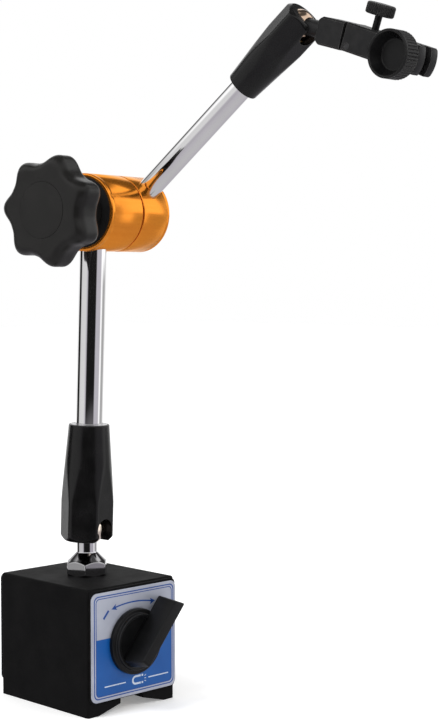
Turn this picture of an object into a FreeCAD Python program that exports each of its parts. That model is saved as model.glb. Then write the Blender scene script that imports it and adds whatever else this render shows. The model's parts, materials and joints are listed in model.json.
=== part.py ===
# A switchable magnetic base that carries a centrally locked, two-part arm and a clamp with a
# fine adjustment for a dial indicator. Millimetres. The origin is the middle of the base's
# footprint, on the surface it stands on; +Z is up and the switch faces -Y.
import FreeCAD, Part
import math
import os
import re

import Sketcher

Vector = FreeCAD.Vector
Placement = FreeCAD.Placement
Rotation = FreeCAD.Rotation

# ---------------------------------------------------------------- driving dimensions

SIZES = {
    # base: two soft-iron blocks with a brass seam between them
    "base_width": 50, "base_depth": 60, "base_height": 55, "base_edge": 1.2,
    "seam": 2, "seam_corner": 0.36, "foot_width": 6, "vee_rise": 3.4, "slot_width": 13, "slot_top": 9,
    "rotor_height": 30, "rotor_bore": 30,
    # plates and screws on its two ends
    "cover_inset": 0.6, "cover_low": 6, "cover_thick": 1.2, "cover_corner": 2.5,
    "plate_width": 48.6, "plate_low": 6.4, "plate_high": 53.4, "plate_thick": 0.6,
    "plate_corner": 3, "screw_x": 21, "screw_low": 10, "screw_high": 50,
    "screw_radius": 1.5, "screw_head": 2.6, "screw_length": 8, "screw_socket": 0.9,
    "screw_socket_deep": 0.8, "screw_land": 0.05,
    # rotor and switch knob
    "rotor_radius": 14.92, "rotor_half": 27, "rotor_plate": 2, "magnet_thick": 12,
    "spindle_radius": 4, "spindle_shoulder": 3.2, "spindle_tip": 2.4, "spindle_reach": 9,
    "spindle_flat": 0.8,
    "stop_radius": 1.25, "stop_circle": 10.5, "stop_depth": 1,
    "pin_gap": 0.2, "track_gap": 0.15,
    "knob_gap": 0.1, "flange_radius": 14.4, "flange_thick": 2.2, "step_radius": 12.4,
    "step_thick": 3.6, "dish_radius": 11.2, "dish_depth": 1.2,
    "flange_edge": 0.6, "step_draft": 0.3, "dish_draft": 0.6,
    "blade_high": 14.4, "blade_tip": 22, "blade_tail": 9, "blade_tip_width": 5.7,
    "blade_tail_width": 5.5, "blade_foot_tail": 11.4, "blade_low": 2.1, "blade_slant": 0.9,
    "blade_toe": 1.8, "blade_heel": 1.5,
    # stud and both ball joints
    "bush_radius": 8, "bush_depth": 9, "thread_radius": 4, "hex_across": 17, "hex_high": 6.8,
    "hex_edge": 0.6, "hex_fall": 1.6,
    "cone_high": 3.4, "neck_radius": 4.5, "ball_radius": 8, "ball_height": 76, "ball_bore": 3,
    "running_gap": 0.05,
    "socket_mouth": 5.5, "socket_length": 52, "socket_small": 9, "socket_corner": 11.75,
    "socket_flats": 21, "socket_shoulder": 12, "socket_chamfer": 2, "socket_slot": 9.8,
    "seat_low": 4.4, "seat_high": 9, "bush_length": 13.5, "tube_end": 34,
    "head_scale": 0.8,   # the ball joint at the clamp is smaller than the one on the base
    # arm
    "lower_reach": 140, "lower_tube": 6, "lower_rod": 4, "lower_tube_bore": 4.5,
    "upper_reach": 120, "upper_tube": 5, "upper_rod": 3.2, "upper_tube_bore": 3.5,
    "elbow_radius": 17, "elbow_near": 8, "elbow_joint": 14, "elbow_washer": 0.8,
    "elbow_far": 33.2, "elbow_edge": 1, "elbow_lip": 0.3, "upper_offset": 22.8,
    "core_bore": 6.6, "tube_inset": 8.5, "upper_inset": 9.6, "head_bore": 9.2,
    # draw bolt with its two tapers
    "bolt_thread": 4, "bolt_body": 6.5, "taper_start": 4.5, "taper_length": 8,
    "bolt_waist": 16, "second_taper": 18.8, "flange_start": 27.8, "flange_end": 30,
    "bolt_flange": 9, "bolt_tail": 32, "nose_gap": 0.03, "rod_gap": 0.3,
    # star knob
    "star_tip": 24.2, "star_valley": 20.4, "star_back": 20.2, "star_front": 34.8,
    "star_boss": 11, "star_lobes": 7, "star_round": 5, "star_swell": 1.4, "star_insert": 7, "cap_radius": 12,
    "cap_thick": 1.6, "thrust_washer": 1, "thrust_recess": 1.2, "thrust_radius": 15.4,
    "end_cap_radius": 12, "end_cap_thick": 1.7, "head_shoulder": 27,
    # swivel block and clamp bar
    "stem_reach": 15, "spigot_radius": 2.6, "spigot_length": 6, "block_far": 28.3,
    "block_high": 11.5, "block_wide": 12, "block_edge": 0.7, "block_shoulder": 1.7, "pivot_drop": 3.45,
    "pivot_reach": 31.95, "pivot_radius": 1.25, "tongue_thick": 5, "channel_wide": 5.2,
    "bar_drop": 2.3, "bar_back": 2.6, "bar_reach": 36.5, "bar_wide": 12, "bar_nose": 13,
    "channel_reach": 12.5, "channel_top": 6.2, "channel_floor": 5, "floor_top": -0.8,
    "fine_at": 7.3, "tongue_top": 4, "fine_radius": 1.5, "tip_radius": 1.2,
    "tip_gap": 0.06,
    "spring_at": 9.4, "spring_high": 2.7, "spring_radius": 1, "spring_wire": 0.22,
    "fine_head_low": 14.9, "fine_head_high": 19.6, "fine_head": 5.9, "tip_high": 5,
    "fine_edge": 0.7, "fine_ridge": 0.35,
    "stem_at": 20.2, "stem_radius": 4, "slit": 1.5, "dovetail_at": 31.5,
    "dovetail_mouth": 3.8, "dovetail_floor": 5.6,
    "wheel_at": 28.5, "wheel_bolt": 2, "wheel_bolt_head": 3.5, "wheel_radius": 9.6,
    "wheel_back": 8, "wheel_front": 16, "wheel_recess": 5, "wheel_hub": 5, "washer_thick": 1,
    "wheel_edge": 0.6, "wheel_lip": 0.4, "wheel_wall": 3.4, "wheel_ridge": 0.55,
}

# The rest pose, in degrees: how far each joint stands from straight.
POSE = {
    "switch_off": 40,     # lever leans this far right of upright when the magnet is off
    "stud_corner": -15,
    "pan": 10, "lean": 2, "fold": 48.25, "socket_roll": -9.2, "head_bend": 56.7,
    "head_spin": 7.35, "fine_tilt": 3.5, "star_turn": 88,
    "stop_play": 8,       # extra angle at each end of the stop track
}

SHEET = "Sizes"
document = FreeCAD.newDocument("indicator_stand")
sheet = document.addObject("Spreadsheet::Sheet", SHEET)
nodes = []


def fill_sheet():
    """Write every driving dimension to the sheet as a plain number with an alias."""
    for row, (alias, value) in enumerate({**SIZES, **POSE}.items(), start=1):
        sheet.set(f"A{row}", alias)
        sheet.set(f"B{row}", str(value))
        sheet.setAlias(f"B{row}", alias)
    document.recompute()


def size(formula):
    """The value of a formula in the sheet's aliases."""
    return float(sheet.evalExpression(str(formula)))


def bound(formula):
    """The same formula as another object of the document writes it."""
    known = {**SIZES, **POSE}
    return re.sub(
        r"[a-z_]+",
        lambda word: f"{SHEET}.{word[0]}" if word[0] in known else word[0],
        str(formula),
    )


def bind(thing, path, formula):
    thing.setExpression(path, bound(formula))


# ---------------------------------------------------------------- ways to make a solid


def node(thing, label, place=Placement()):
    """Keep a finished solid as one of the stand's pieces, standing at its place."""
    if any(path.startswith(("Placement", ".Placement")) for path, _ in thing.ExpressionEngine):
        thing = grouped(thing)
    thing.Label = label
    thing.Placement = place
    nodes.append(thing)
    return thing


def outline_sketch(body, plane, corners):
    """A closed outline in one of the body's own planes, each corner held by two formulas."""
    sketch = body.newObject("Sketcher::SketchObject", "Outline")
    role = {f.Role: f for f in body.Origin.OriginFeatures}
    sketch.AttachmentSupport = [(role[plane], "")]
    sketch.MapMode = "FlatFace"
    points = [Vector(size(x), size(y), 0) for x, y in corners]
    count = len(points)
    for i, point in enumerate(points):
        sketch.addGeometry(Part.LineSegment(point, points[(i + 1) % count]))
    for i in range(count):
        sketch.addConstraint(Sketcher.Constraint("Coincident", i, 2, (i + 1) % count, 1))
    for i, (x, y) in enumerate(corners):
        for kind, formula in (("DistanceX", x), ("DistanceY", y)):
            rule = Sketcher.Constraint(kind, -1, 1, i, 1, size(formula))
            index = sketch.addConstraint(rule)
            bind(sketch, f"Constraints[{index}]", formula)
    return sketch


def turned(*corners):
    """A solid turned about Z from an outline of (radius, height) corners."""
    body = document.addObject("PartDesign::Body", "Turned")
    sketch = outline_sketch(body, "XZ_Plane", corners)
    spin = body.newObject("PartDesign::Revolution", "Revolution")
    spin.Profile = sketch
    spin.ReferenceAxis = (sketch, ["V_Axis"])
    spin.Angle = 360
    return body


def tube(outer, inner, low, high):
    return turned((inner, low), (outer, low), (outer, high), (inner, high))


def padded(plane, length, corners, middle=True):
    """A solid padded from an outline, to both sides of its plane or to one."""
    body = document.addObject("PartDesign::Body", "Padded")
    pad = body.newObject("PartDesign::Pad", "Pad")
    pad.Profile = outline_sketch(body, plane, corners)
    pad.Midplane = middle
    bind(pad, "Length", length)
    return body


def placed(thing, at, along=Rotation()):
    thing.Placement = Placement(Vector(), along)
    for axis, formula in zip("xyz", at):
        bind(thing, f"Placement.Base.{axis}", formula)
    return thing


def box(length, width, height, at):
    """A box given by its sides and its lowest corner."""
    solid = document.addObject("Part::Box", "Box")
    bind(solid, "Length", length)
    bind(solid, "Width", width)
    bind(solid, "Height", height)
    return placed(solid, at)


ALONG = {
    "x": Rotation(Vector(0, 1, 0), 90), "-x": Rotation(Vector(0, 1, 0), -90),
    "y": Rotation(Vector(1, 0, 0), -90), "-y": Rotation(Vector(1, 0, 0), 90),
    "z": Rotation(),
}


def rod(radius, length, at=(0, 0, 0), along="z"):
    """A cylinder that starts at a point and runs along an axis."""
    solid = document.addObject("Part::Cylinder", "Cylinder")
    bind(solid, "Radius", radius)
    bind(solid, "Height", length)
    return placed(solid, at, ALONG[along])


def ball(radius, at=(0, 0, 0)):
    solid = document.addObject("Part::Sphere", "Sphere")
    bind(solid, "Radius", radius)
    return placed(solid, at)


def hexagon(across, height, at=(0, 0, 0), angle=0):
    """A six-sided prism given by its width across the flats."""
    solid = document.addObject("Part::Prism", "Prism")
    solid.Polygon = 6
    bind(solid, "Circumradius", f"({across}) / 2 / cos(30)")
    bind(solid, "Height", height)
    return placed(solid, at, Rotation(Vector(0, 0, 1), angle))


def fused(*things):
    whole = document.addObject("Part::MultiFuse", "Fused")
    whole.Shapes = list(things)
    return whole


def grouped(*things):
    """Solids kept apart inside one piece, in a frame of its own."""
    whole = document.addObject("Part::Compound", "Group")
    whole.Links = list(things)
    return whole


def shared(*things):
    whole = document.addObject("Part::MultiCommon", "Shared")
    whole.Shapes = list(things)
    return whole


def without(base, *tools):
    whole = document.addObject("Part::Cut", "Cut")
    whole.Base = base
    whole.Tool = fused(*tools) if len(tools) > 1 else tools[0]
    return whole


def mirrored(source, normal):
    whole = document.addObject("Part::Mirroring", "Mirrored")
    whole.Source = source
    whole.Normal = normal
    return whole


def rounded(body, radius, test):
    """Round those edges of a body's last feature whose middle point passes the test."""
    document.recompute()
    tip = body.Tip
    names = [
        f"Edge{number}"
        for number, edge in enumerate(tip.Shape.Edges, start=1)
        if test(edge.valueAt((edge.FirstParameter + edge.LastParameter) / 2))
    ]
    fillet = body.newObject("PartDesign::Fillet", "Fillet")
    fillet.Base = (tip, names)
    bind(fillet, "Radius", radius)
    return body


def shaped(shape):
    """A piece whose outline needs curves that no sketch or primitive above gives."""
    thing = document.addObject("Part::Feature", "Shaped")
    thing.Shape = shape
    return thing


def same(a, b):
    return abs(a - b) < 1e-6


# ---------------------------------------------------------------- where things stand


def turn(axis, degrees):
    return Placement(Vector(), Rotation(Vector(*axis), degrees))


def shift(x, y, z):
    return Placement(Vector(x, y, z), Rotation())


def frames():
    """The local frames of the stand at rest, each worked out from the one before it."""
    x_axis, y_axis, z_axis = (1, 0, 0), (0, 1, 0), (0, 0, 1)
    at = {}
    # front and rear faces of the base: local Z points out of the face, local Y up
    at["front"] = shift(0, -size("base_depth / 2"), 0) * turn(x_axis, 90)
    at["rear"] = shift(0, size("base_depth / 2"), 0) * turn(z_axis, 180) * turn(x_axis, 90)
    at["switch"] = at["front"] * shift(0, size("rotor_height"), 0)
    at["switch"] = at["switch"] * turn(z_axis, -size("switch_off"))
    at["stud_ball"] = shift(0, 0, size("ball_height")) * turn(z_axis, size("pan"))
    at["lower"] = at["stud_ball"] * turn(x_axis, size("lean"))
    at["elbow"] = at["lower"] * shift(0, 0, size("lower_reach"))
    # local Z of these two runs along the elbow's axis, away from and towards the knob
    at["elbow_turned"] = at["elbow"] * turn(y_axis, 90)
    at["knob"] = at["elbow"] * turn(y_axis, -90) * turn(z_axis, size("star_turn"))
    at["upper_side"] = at["elbow"] * turn(x_axis, size("fold"))
    at["upper_turned"] = at["upper_side"] * turn(y_axis, 90)
    at["upper"] = at["upper_side"] * shift(size("upper_offset"), 0, 0)
    at["head"] = at["upper"] * shift(0, 0, size("upper_reach"))
    at["head"] = at["head"] * turn(z_axis, size("socket_roll"))
    at["head_socket"] = at["head"] * turn(y_axis, 180)
    at["head_ball"] = at["head"] * turn(x_axis, size("head_bend"))
    at["block"] = at["head_ball"] * turn(z_axis, size("head_spin"))
    at["bar"] = at["block"] * shift(0, -size("pivot_drop"), size("pivot_reach"))
    at["bar"] = at["bar"] * turn(x_axis, size("fine_tilt"))
    at["fine"] = at["bar"] * shift(0, 0, size("fine_at")) * turn(x_axis, -90)
    at["wheel"] = at["bar"] * shift(0, size("block_high / 2 - bar_drop"), size("wheel_at"))
    at["wheel"] = at["wheel"] * turn(y_axis, -90)
    return at


# ---------------------------------------------------------------- base


def pole_blocks():
    """Two soft-iron halves with a bored middle, and feet that form a vee with a slot."""
    half, high = "base_width / 2", "base_height"
    right = padded("XZ_Plane", "base_depth", (
        ("seam / 2", "slot_top"), ("slot_width / 2", "slot_top"), ("slot_width / 2", "vee_rise"),
        (f"{half} - foot_width", 0), (half, 0), (half, high), ("seam / 2", high),
    ))
    outer, end, top = size(half), size("base_depth / 2"), size(high)

    def on_outside(point):
        upright = same(point.x, outer) and same(abs(point.y), end)
        crown = same(point.z, top) and (same(point.x, outer) or same(abs(point.y), end))
        return upright or crown

    rounded(right, "base_edge", on_outside)
    holes = [
        rod("rotor_bore / 2", "base_depth + 2", (0, "-base_depth / 2 - 1", "rotor_height"), "y"),
        rod("bush_radius", "bush_depth + 1", (0, 0, "base_height - bush_depth")),
    ]
    for side, along in (("-base_depth / 2 - 1", "y"), ("base_depth / 2 + 1", "-y")):
        for level in ("screw_low", "screw_high"):
            hole = rod("screw_radius", "screw_length - cover_thick + 1",
                       ("screw_x", side, level), along)
            holes.append(hole)
    block = node(without(right, *holes), "pole_block_right")
    node(mirrored(block, Vector(1, 0, 0)), "pole_block_left")


def seam_strips():
    """Brass strips that hold the halves apart above and below the rotor bore."""
    low = box("seam", "base_depth", "rotor_height - rotor_bore / 2 - slot_top",
              ("-seam / 2", "-base_depth / 2", "slot_top"))
    node(low, "seam_strip_bottom")
    side, top = "base_depth / 2", "base_height"
    strip = padded("YZ_Plane", "seam", (
        (f"-({side})", "rotor_height + rotor_bore / 2"), (side, "rotor_height + rotor_bore / 2"),
        (side, f"{top} - base_edge"), (f"{side} - seam_corner", f"{top} - seam_corner"),
        (f"{side} - base_edge", top), (f"base_edge - {side}", top),
        (f"seam_corner - {side}", f"{top} - seam_corner"), (f"-({side})", f"{top} - base_edge"),
    ))
    seat = rod("bush_radius", "bush_depth + 1", (0, 0, "base_height - bush_depth"))
    node(without(strip, seat), "seam_strip_top")


def rounded_plate(half_width, low, high, radius, thick, lift):
    """A thin plate with rounded corners, lying in local XY at a height above it."""
    plate = padded("XY_Plane", thick, (
        (f"-({half_width})", low), (half_width, low), (half_width, high), (f"-({half_width})", high),
    ), middle=False)
    across, bottom, top = size(half_width), size(low), size(high)
    rounded(plate, radius, lambda p: same(abs(p.x), across) and p.y > bottom - 1 and p.y < top + 1
            and (same(p.y, bottom) or same(p.y, top)))
    plate.Placement = shift(0, 0, size(lift))
    return plate


def screw_places():
    return [(x, y) for x in ("screw_x", "-screw_x") for y in ("screw_low", "screw_high")]


def screw_outline():
    """One countersunk screw, its head flush with local Z = 0 and its shank below."""
    return turned(
        (0, "-screw_length"), ("screw_radius", "-screw_length"), ("screw_radius", "-cover_thick"),
        ("screw_head", "-screw_land"), ("screw_head", 0), (0, 0),
    )


def covers(at):
    """End covers, each held by four countersunk screws, and the plate behind the knob."""
    half = "base_width / 2 - cover_inset"
    high = "base_height - cover_inset"
    for face in ("front", "rear"):
        cover = rounded_plate(half, "cover_low", high, "cover_corner", "cover_thick", "0")
        holes = []
        for x, y in screw_places():
            sink = turned(
                (0, -1), ("screw_radius", -1), ("screw_radius", 0),
                ("screw_head", "cover_thick - screw_land"), ("screw_head", "cover_thick + 1"),
                (0, "cover_thick + 1"),
            )
            sink.Placement = shift(size(x), size(y), 0)
            holes.append(sink)
        if face == "front":
            holes.append(rod("spindle_radius + running_gap", 4, (0, "rotor_height", -1)))
            pin_x, pin_y = stop_pin_place()
            holes.append(rod("stop_radius", 4, (pin_x, pin_y, -1)))
        node(without(cover, *holes), f"{face}_cover", at[face])
    screws = []
    for face in ("front", "rear"):
        for x, y in screw_places():
            socket = hexagon("2 * screw_socket", 1, (0, 0, "-screw_socket_deep"))
            screw = without(screw_outline(), socket)
            screw.Placement = at[face] * shift(size(x), size(y), size("cover_thick"))
            screws.append(screw)
    node(grouped(*screws), "cover_screws")

    plate = rounded_plate("plate_width / 2", "plate_low", "plate_high", "plate_corner",
                          "plate_thick", "cover_thick")
    window = rod("spindle_radius + 1", 4, (0, "rotor_height", 0))
    node(without(plate, window), "switch_plate", at["front"])


def stop_pin_place():
    """The pin stands on the stop circle, opposite the middle of the knob's travel."""
    angle = "(270 + 45 - switch_off)"
    return f"stop_circle * cos({angle})", f"rotor_height + stop_circle * sin({angle})"


def stud(at):
    """The bush in the top, and the hexagon stud that carries the lower ball on its neck."""
    floor = "base_height - bush_depth"
    node(tube("bush_radius", "thread_radius", floor, "base_height"), "stud_bush")
    corner = "hex_across / 2 / cos(30)"
    top = "base_height + hex_high"
    washer_face = turned(
        (0, "base_height"), ("hex_across / 2", "base_height"), (corner, "base_height + 1"),
        (corner, f"{top} - hex_fall"), ("hex_across / 2 - hex_edge", top), (0, top),
    )
    flats = hexagon("hex_across", "hex_high", (0, 0, "base_height"), POSE["stud_corner"])
    shank = turned(
        (0, f"{floor} + 0.5"), ("thread_radius", f"{floor} + 0.5"), ("thread_radius", "base_height"),
        ("hex_across / 2 - hex_edge", "base_height"), ("hex_across / 2 - hex_edge", top),
        ("neck_radius", f"{top} + cone_high"), ("neck_radius", "ball_height + ball_bore - pin_gap"),
        (0, "ball_height + ball_bore - pin_gap"),
    )
    node(fused(shared(washer_face, flats), shank), "ball_stud")
    node(ball_with_bore("1"), "lower_ball", at["stud_ball"])


def ball_with_bore(scale):
    """A ball that turns on a round neck: its blind bore opens downwards."""
    radius = f"{scale} * ball_radius"
    bore = rod(f"{scale} * neck_radius + running_gap", f"{scale} * (ball_radius + ball_bore)",
               (0, 0, f"-{radius}"))
    return without(ball(radius), bore)


# ---------------------------------------------------------------- magnet switch


def rotor(at):
    """The turning magnet between two iron shoes, its end plates, and the drive spindle."""
    local = at["switch"]
    deep = "-base_depth / 2"
    length = "2 * (rotor_half - rotor_plate)"
    start = f"{deep} - rotor_half + rotor_plate"
    wide = "2 * rotor_radius"
    names = ("rotor_shoe_near", "rotor_magnet", "rotor_shoe_far")
    lows = ("-rotor_radius", "-magnet_thick / 2", "magnet_thick / 2")
    depths = ("rotor_radius - magnet_thick / 2", "magnet_thick", "rotor_radius - magnet_thick / 2")
    for name, low, depth in zip(names, lows, depths):
        drum = rod("rotor_radius", length, (0, 0, start))
        slab = box(depth, wide, length, (low, "-rotor_radius", start))
        node(shared(drum, slab), name, local)
    node(tube("rotor_radius", 2, f"{deep} - rotor_half", f"{deep} - rotor_half + rotor_plate"),
         "rotor_rear_plate", local)

    plate_low = f"{deep} + rotor_half - rotor_plate"
    plate_top = f"{deep} + rotor_half"
    drive = turned(
        (0, plate_low), ("rotor_radius", plate_low), ("rotor_radius", plate_top),
        ("spindle_radius", plate_top), ("spindle_radius", 0), (0, 0),
    )
    track = tube("stop_circle + stop_radius + track_gap", "stop_circle - stop_radius - track_gap",
                 f"{plate_top} - stop_depth", f"{plate_top} + 1")
    first, last = "(225 - stop_play)", "(315 + stop_play)"
    far = "base_width"
    wedge = padded("XY_Plane", "2 * base_depth", (
        (0, 0), (f"{far} * cos({first})", f"{far} * sin({first})"), (0, f"-2 * {far}"),
        (f"{far} * cos({last})", f"{far} * sin({last})"),
    ))
    turning = fused(drive, spindle_end())
    node(without(turning, shared(track, wedge)), "rotor_spindle", local)
    pin_x, pin_y = stop_pin_place()
    pin = rod("stop_radius", "cover_thick + base_depth / 2 - rotor_half + stop_depth - pin_gap",
              (pin_x, pin_y, f"{plate_top} - stop_depth + pin_gap"))
    node(pin, "stop_pin", at["front"])


def spindle_end():
    """The spindle outside the base: a shoulder, then a tip whose flat drives the knob."""
    tip = without(
        rod("spindle_tip", "spindle_reach"),
        box("2 * spindle_tip", "spindle_tip", "spindle_reach",
            ("-spindle_tip", "spindle_tip - spindle_flat", "spindle_shoulder")),
    )
    return fused(rod("spindle_radius", "spindle_shoulder"), tip)


def switch_knob(at):
    """A round flanged knob with a dished face, crossed by the lever's tapering blade."""
    back = "cover_thick + plate_thick + knob_gap"
    disc = turned(
        (0, back), ("flange_radius", back), ("flange_radius", f"{back} + flange_thick - flange_edge"),
        ("flange_radius - flange_edge", f"{back} + flange_thick"), ("step_radius", f"{back} + flange_thick"),
        ("step_radius - step_draft", f"{back} + step_thick"), ("dish_radius", f"{back} + step_thick"),
        ("dish_radius - dish_draft", f"{back} + step_thick - dish_depth"),
        (0, f"{back} + step_thick - dish_depth"),
    )
    high = f"{back} + blade_high"
    low = f"{back} + blade_low"
    # side view of the blade, then its plan, wider at the tip than at the tail
    side = padded("YZ_Plane", "3 * flange_radius", (
        ("-blade_foot_tail", low), ("blade_tip + blade_toe", low), ("blade_tip + blade_slant", high),
        ("-blade_tail + blade_heel", high), ("-blade_tail", f"{high} - blade_heel"),
    ))
    plan = padded("XY_Plane", "4 * flange_radius", (
        ("-blade_tail_width / 2", "-blade_foot_tail"), ("blade_tail_width / 2", "-blade_foot_tail"),
        ("blade_tip_width / 2", "blade_tip + 2 * blade_slant"),
        ("-blade_tip_width / 2", "blade_tip"),
    ))
    node(without(fused(disc, shared(side, plan)), spindle_end()), "switch_knob", at["switch"])


# ---------------------------------------------------------------- ball sockets and arms


def socket(scale):
    """A ball socket: its ball sits at the origin, its mouth looks down and its slot to -Y."""
    mouth, corner = f"-{scale} * socket_mouth", f"{scale} * socket_corner"
    top = f"{scale} * (socket_length - socket_mouth)"
    chamfer, small = f"{scale} * socket_chamfer", f"{scale} * socket_small"
    outside = turned(
        (0, mouth), (f"{corner} - {chamfer}", mouth), (corner, f"{mouth} + {chamfer}"),
        (corner, f"{scale} * socket_shoulder"), (small, f"{top} - 0.4"), (f"{small} - 0.4", top),
        (0, top),
    )
    across = f"{scale} * socket_flats"
    flats = hexagon(across, f"{top} - ({mouth}) + 2", (0, 0, f"{mouth} - 1"))
    inside = f"{scale} * ball_radius + running_gap"
    half_slot = f"{scale} * socket_slot / 2"
    slot_top = rod(half_slot, across, (0, f"-{across}", 0), "y")
    slot = box(f"2 * {half_slot}", across, f"1 - ({mouth})",
               (f"-{half_slot}", f"-{across}", f"{mouth} - 1"))
    return without(shared(outside, flats), ball(inside), rod(inside, top), slot_top, slot)


def ball_seat(scale):
    """A brass cup that slides in the socket and is pressed on the ball."""
    radius = f"{scale} * ball_radius"
    cup = rod(radius, f"{scale} * (seat_high - seat_low)", (0, 0, f"{scale} * seat_low"))
    return without(cup, ball(f"{radius} + nose_gap"))


def tube_bush(scale, tube_radius):
    """A ring that holds the tube in the socket's narrow end."""
    top = f"{scale} * (socket_length - socket_mouth)"
    return tube(f"{scale} * ball_radius + running_gap", tube_radius,
                f"{top} - {scale} * bush_length", top)


SLOPE = "(bolt_body - bolt_thread) / taper_length"


def nose_height(rod_radius, along_taper):
    """Distance from the elbow's axis to the middle of a push rod's round nose on its taper."""
    return (f"bolt_thread + {along_taper} * {SLOPE}"
            f" + {rod_radius} * sqrt(1 + ({SLOPE})^2) + nose_gap")


def lower_arm(at):
    node(socket("1"), "lower_socket", at["lower"])
    node(ball_seat("1"), "lower_ball_seat", at["lower"])
    node(tube_bush("1", "lower_tube"), "lower_tube_bush", at["lower"])
    node(tube("lower_tube", "lower_tube_bore", "tube_end", "lower_reach - tube_inset"),
         "lower_tube", at["lower"])
    nose = "lower_reach - (" + nose_height("lower_rod", "taper_start") + ")"
    push = fused(rod("lower_rod", f"{nose} - seat_high", (0, 0, "seat_high")),
                 ball("lower_rod", (0, 0, nose)))
    node(push, "lower_push_rod", at["lower"])


def upper_arm(at):
    scale = "head_scale"
    node(socket(scale), "upper_socket", at["head_socket"])
    node(ball_seat(scale), "upper_ball_seat", at["head_socket"])
    node(tube_bush(scale, "upper_tube"), "upper_tube_bush", at["head_socket"])
    node(tube("upper_tube", "upper_tube_bore", "upper_inset", f"upper_reach - {scale} * tube_end"),
         "upper_tube", at["upper"])
    nose = nose_height("upper_rod", "(upper_offset - second_taper)")
    push = fused(
        rod("upper_rod", f"upper_reach - {scale} * seat_high - ({nose})", (0, 0, nose)),
        ball("upper_rod", (0, 0, nose)),
    )
    node(push, "upper_push_rod", at["upper"])
    node(ball_with_bore(scale), "upper_ball", at["head_ball"] * turn((1, 0, 0), 180))


# ---------------------------------------------------------------- elbow and its lock


def elbow(at):
    """Two turned halves on one axis, with a friction ring between them."""
    near, joint, ring = "-elbow_near", "elbow_joint", "elbow_washer / 2"
    floor = f"{near} + thrust_recess"
    lower = turned(
        ("bolt_thread + 0.2", floor), ("thrust_radius", floor), ("thrust_radius", near),
        ("elbow_radius - elbow_edge", near), ("elbow_radius", f"{near} + elbow_edge"),
        ("elbow_radius", f"{joint} - {ring} - elbow_lip"), ("elbow_radius - elbow_lip", f"{joint} - {ring}"),
        ("core_bore", f"{joint} - {ring}"), ("core_bore", -5), ("bolt_thread + 0.2", -5),
    )
    lower_holes = (
        rod("lower_tube", "elbow_radius", ("tube_inset", 0, 0), "x"),
        rod("lower_rod + rod_gap", "elbow_radius", (0, 0, 0), "x"),
    )
    node(without(lower, *lower_holes), "elbow_lower_half", at["elbow_turned"])
    node(tube("elbow_radius - 1.5", "core_bore + 0.2", f"{joint} - {ring}", f"{joint} + {ring}"),
         "elbow_friction_ring", at["elbow_turned"])
    node(tube("thrust_radius", "bolt_thread + rod_gap", f"{floor} - thrust_washer", floor),
         "knob_thrust_plate", at["elbow_turned"])

    far, cap = "elbow_far", "elbow_far - end_cap_thick"
    upper = turned(
        ("core_bore", f"{joint} + {ring}"), ("elbow_radius - elbow_lip", f"{joint} + {ring}"),
        ("elbow_radius", f"{joint} + {ring} + elbow_lip"), ("elbow_radius", f"{far} - elbow_edge"),
        ("elbow_radius - elbow_edge", far), ("end_cap_radius", far), ("end_cap_radius", cap),
        ("head_bore", cap), ("head_bore", "head_shoulder"), ("core_bore", "head_shoulder"),
    )
    upper_holes = (
        rod("upper_tube", "elbow_radius", ("-upper_inset", 0, "upper_offset"), "-x"),
        rod("upper_rod + 0.1", "elbow_radius", (0, 0, "upper_offset"), "-x"),
    )
    node(without(upper, *upper_holes), "elbow_upper_half", at["upper_turned"])
    node(turned((0, cap), ("end_cap_radius", cap), ("end_cap_radius", far), (0, far)),
         "elbow_end_cap", at["upper_turned"])
    node(tube("bolt_flange", "bolt_body + rod_gap", "head_shoulder", "flange_start - 0.1"),
         "elbow_spring_washer", at["upper_turned"])


def draw_bolt(at):
    """The bolt that the star knob pulls: its two tapers push the rods down both arms."""
    first, second = "taper_length - taper_start", "second_taper + taper_length"
    node(turned(
        (0, "-bolt_tail"), ("bolt_thread", "-bolt_tail"), ("bolt_thread", "-taper_start"),
        ("bolt_body", first), ("bolt_body", "bolt_waist"), ("bolt_thread", "bolt_waist"),
        ("bolt_thread", "second_taper"), ("bolt_body", second), ("bolt_body", "flange_start"),
        ("bolt_flange", "flange_start"), ("bolt_flange", "flange_end"), (0, "flange_end"),
    ), "draw_bolt", at["elbow_turned"])


def star_section(height, inset):
    """One closed cross-section of the star grip: lobes and flutes follow a raised cosine."""
    tip, valley, lobes = size("star_tip"), size("star_valley"), int(size("star_lobes"))
    steps = 8 * lobes
    points = []
    for step in range(steps):
        angle = 2 * math.pi * step / steps
        swell = ((1 + math.cos(lobes * angle)) / 2) ** size("star_swell")
        reach = valley + (tip - valley) * swell - inset
        points.append(Vector(reach * math.cos(angle), reach * math.sin(angle), height))
    curve = Part.BSplineCurve()
    curve.interpolate(points, PeriodicFlag=True)
    return Part.Wire(curve.toShape())


def star_grip():
    """The lofted grip, with quarter-round edges at its back and its front."""
    back, front, edge = size("star_back"), size("star_front"), size("star_round")
    quarter = [math.radians(angle) for angle in (0, 30, 60, 90)]
    sections = []
    for angle in quarter:
        sections.append((back + edge * (1 - math.cos(angle)), edge * (1 - math.sin(angle))))
    for angle in reversed(quarter):
        sections.append((front - edge * (1 - math.cos(angle)), edge * (1 - math.sin(angle))))
    wires = [star_section(height, inset) for height, inset in sections]
    return shaped(Part.makeLoft(wires, True, False))


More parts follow.
